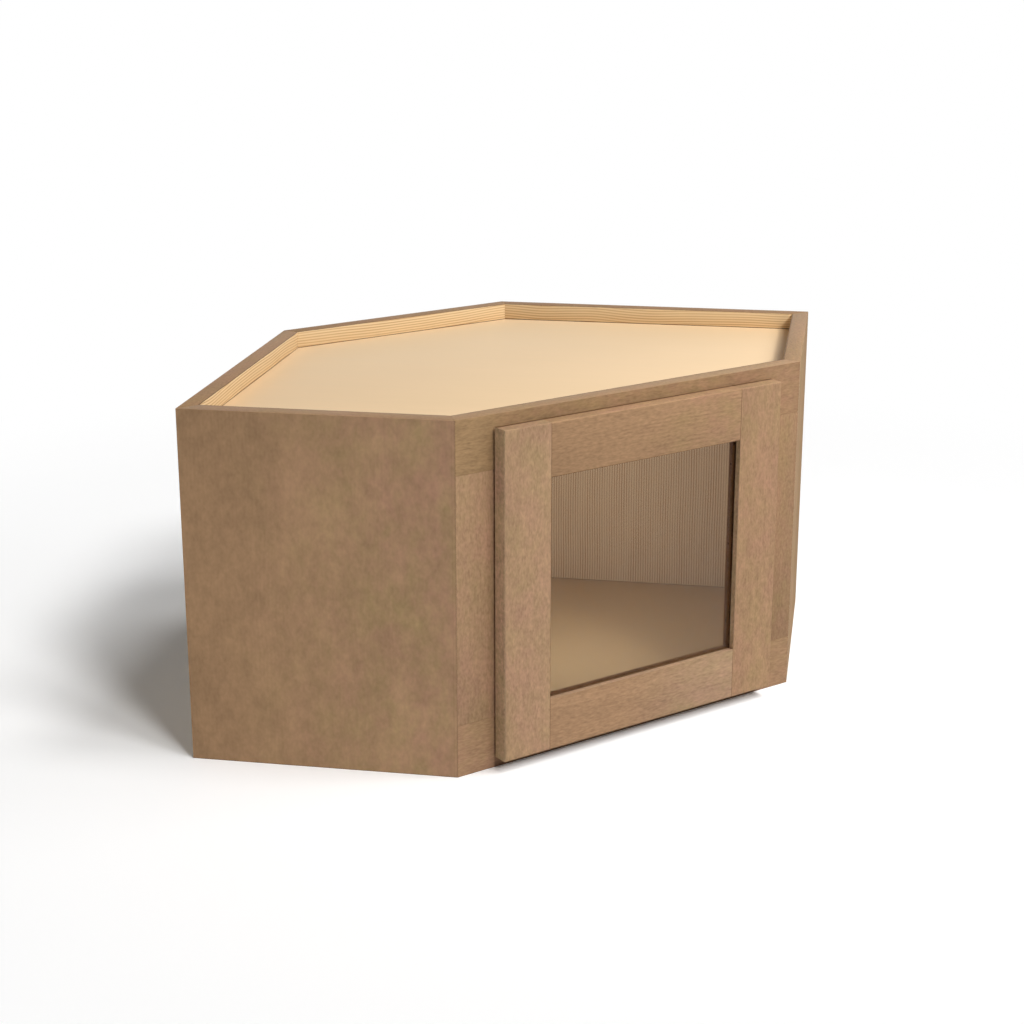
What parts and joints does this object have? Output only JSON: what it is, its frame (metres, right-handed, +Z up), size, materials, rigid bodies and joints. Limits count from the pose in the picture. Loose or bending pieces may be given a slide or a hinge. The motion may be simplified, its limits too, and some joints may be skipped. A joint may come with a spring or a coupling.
{
  "type": "corner wall cabinet",
  "caption": "Diagonal corner wall cabinet with a recessed top, face frame and glazed frame-and-panel door on concealed hinges.",
  "frame": {"origin": "on the cabinet's underside, under the middle of its square plan", "axes": "+Z up; the two wall faces look along -X and +Y; the door looks along +X -Y"},
  "size_m": [0.6096, 0.6096, 0.381],
  "materials": {
    "stained_side": "satin brown stain on maple veneer",
    "stained_frame": "satin brown stain on solid maple",
    "stained_door": "satin brown stain on solid maple",
    "stained_bead": "satin brown stain",
    "natural_back": "clear-coated natural maple veneer",
    "natural_rail": "clear-coated natural wood",
    "natural_panel": "clear-coated natural maple veneer",
    "tinted_glass": "clear tinted",
    "hinge_metal": "nickel-plated",
    "fastener_steel": "zinc-plated",
    "bumper": "translucent soft pad"
  },
  "bodies": {
    "cabinet": {"side_panel_left": "stained_side", "side_panel_right": "stained_side", "back_panel_left": "natural_back", "back_panel_corner": "natural_back", "back_panel_right": "natural_back", "hanging_rail_left": "natural_rail", "hanging_rail_corner": "natural_rail", "hanging_rail_right": "natural_rail", "top_panel": "natural_panel", "bottom_panel": "natural_panel", "frame_rail_top": "stained_frame", "frame_rail_bottom": "stained_frame", "frame_stile_left": "stained_frame", "frame_stile_right": "stained_frame", "hinge_arm_upper": "hinge_metal", "hinge_arm_lower": "hinge_metal", "hinge_arm_screws": "fastener_steel"},
    "door": {"door_stile_hinge": "stained_door", "door_stile_latch": "stained_door", "door_rail_top": "stained_door", "door_rail_bottom": "stained_door", "glass_pane": "tinted_glass", "glass_bead_left": "stained_bead", "glass_bead_right": "stained_bead", "glass_bead_top": "stained_bead", "glass_bead_bottom": "stained_bead", "bead_brads": "fastener_steel", "hinge_cup_upper": "hinge_metal", "hinge_cup_lower": "hinge_metal", "hinge_cup_screws": "fastener_steel", "hinge_pins": "fastener_steel", "door_bumpers": "bumper"}
  },
  "joints": [
    {"name": "door_swing", "type": "hinge", "parent": "cabinet", "child": "door", "pos_m": [0.02637, -0.27648, 0.1905], "axis": [0, 0, -1], "range_deg": [0, 95]}
  ]
}
